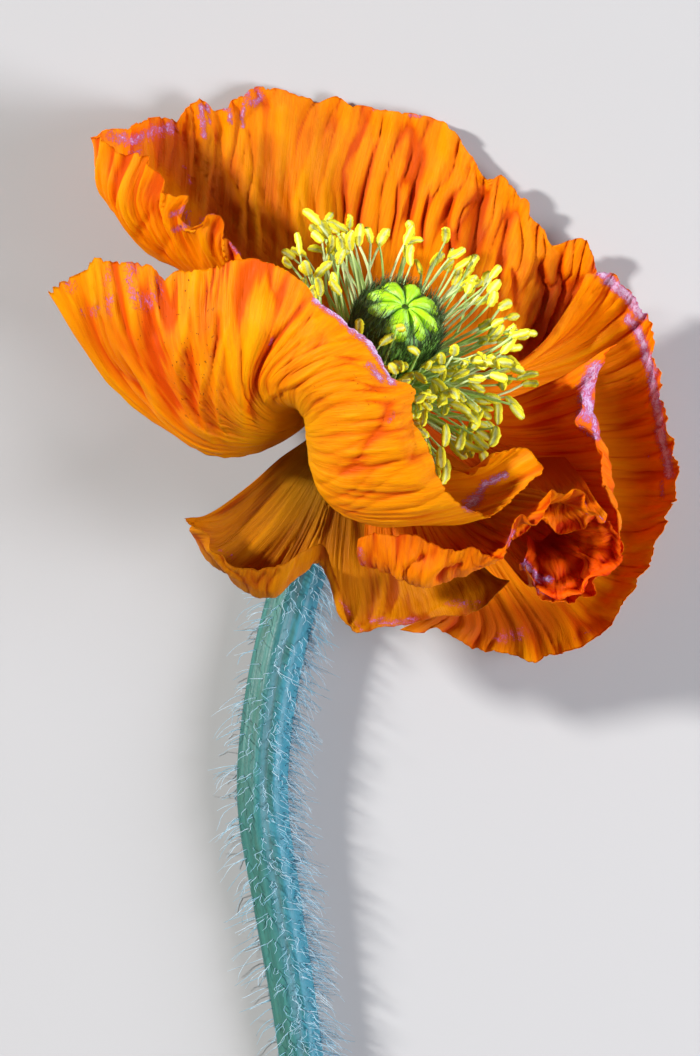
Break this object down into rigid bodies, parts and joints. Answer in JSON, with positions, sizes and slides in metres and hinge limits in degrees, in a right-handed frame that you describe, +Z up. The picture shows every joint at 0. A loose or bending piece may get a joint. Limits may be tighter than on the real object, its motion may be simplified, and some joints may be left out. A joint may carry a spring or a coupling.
{
  "type": "poppy flower",
  "caption": "Cut poppy lying down: crumpled pleated petals round a ribbed seed capsule and stamens, on a bent stem.",
  "frame": {"origin": "middle of the bounding box, on the surface that the flower lies on", "axes": "+Y from the cut end of the stem to the bloom, +Z up, +X to the right of the bloom seen from above"},
  "size_m": [0.073, 0.1248, 0.0374],
  "materials": {
    "stem_green": "fresh hairy stem, blue-green, matt",
    "pistil_green": "dark green hairy ovary under a waxy lime stigma",
    "stamen_yellow": "pale green filaments with yellow anthers",
    "petal_orange": "thin satin petal, crumpled and pleated, light shines through it",
    "petal_amber": "thin satin petal, olive amber towards its claw",
    "petal_red": "thin satin petal, deep orange red in its folds"
  },
  "bodies": {
    "root": {"stem": "stem_green", "pistil": "pistil_green", "stamens": "stamen_yellow", "petal_back": "petal_orange", "petal_right": "petal_orange", "petal_lower": "petal_amber", "petal_inner_right": "petal_red", "petal_inner_fold": "petal_orange", "petal_front": "petal_orange"}
  },
  "joints": []
}
